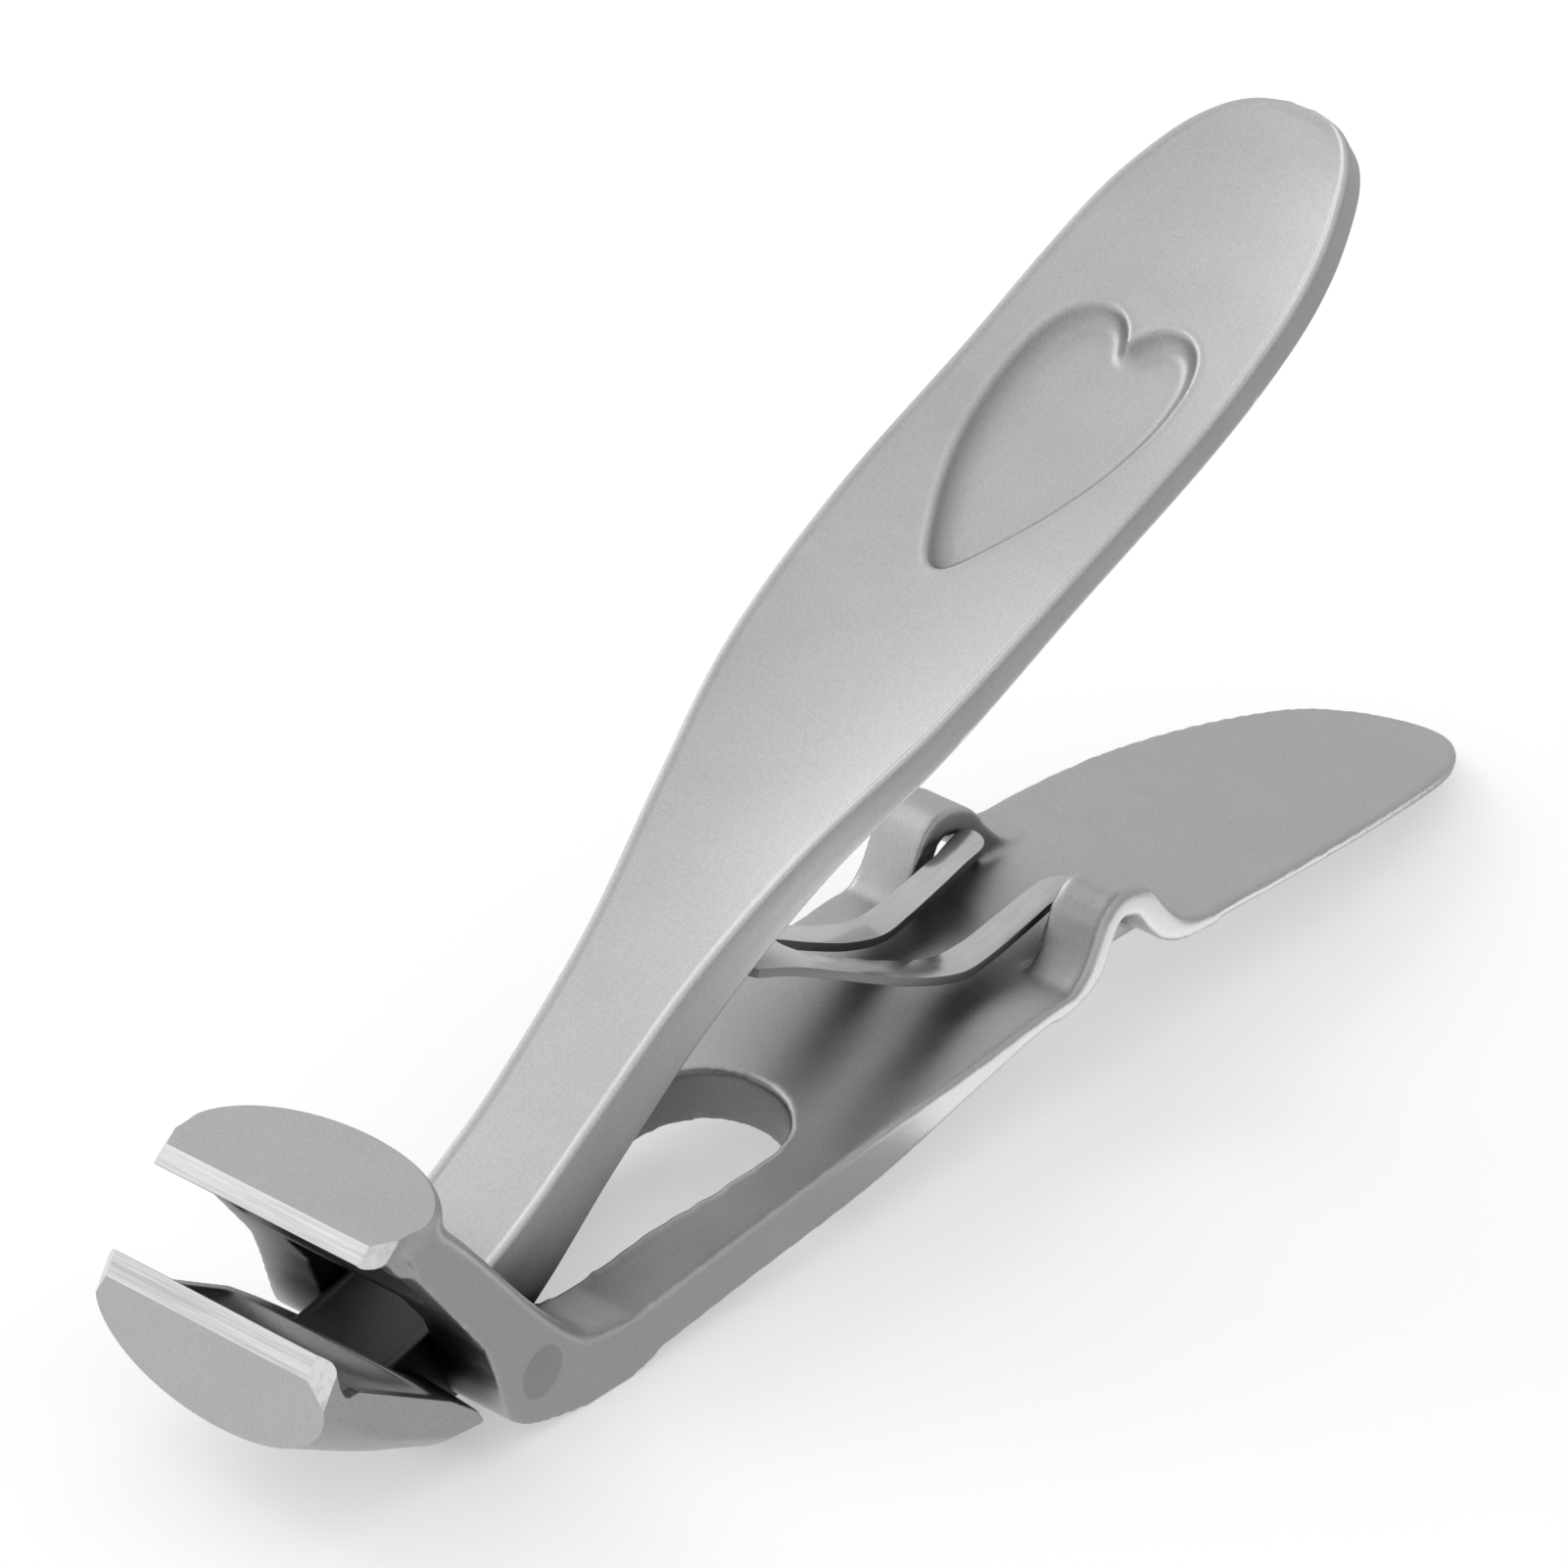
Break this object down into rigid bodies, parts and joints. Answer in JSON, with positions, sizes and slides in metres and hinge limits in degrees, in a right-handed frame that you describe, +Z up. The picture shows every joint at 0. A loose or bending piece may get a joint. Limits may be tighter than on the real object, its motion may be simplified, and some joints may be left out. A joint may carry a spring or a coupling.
{
  "type": "nail clipper",
  "caption": "Plier-style clipper for thick nails: sprung thumb lever with lower jaw, pivoting in a forked head that carries the upper jaw and flat lower handle.",
  "frame": {"origin": "middle of the overall length and width, on the surface it stands on", "axes": "+X from the jaws towards the handle ends, +Y along the pivot pin, +Z up from the table; the part rests on the underside of the head and the tip of the lower handle"},
  "size_m": [0.1024, 0.016, 0.047],
  "materials": {
    "satin_steel": "fine blasted satin stainless steel",
    "rivet_steel": "satin, ground flush",
    "polished_steel": "polished spring steel"
  },
  "bodies": {
    "body": {"handle_body": "satin_steel", "pivot_pin": "rivet_steel", "leaf_spring": "polished_steel"},
    "lever": {"thumb_lever": "satin_steel"}
  },
  "joints": [
    {"name": "lever_hinge", "type": "hinge", "parent": "body", "child": "lever", "pos_m": [-0.03533, 0, 0.00385], "axis": [0, 1, 0], "range_deg": [0, 15], "stiffness_Nm_per_rad": 0.5, "springref_deg": -5.73, "deforming": ["leaf_spring"]}
  ]
}
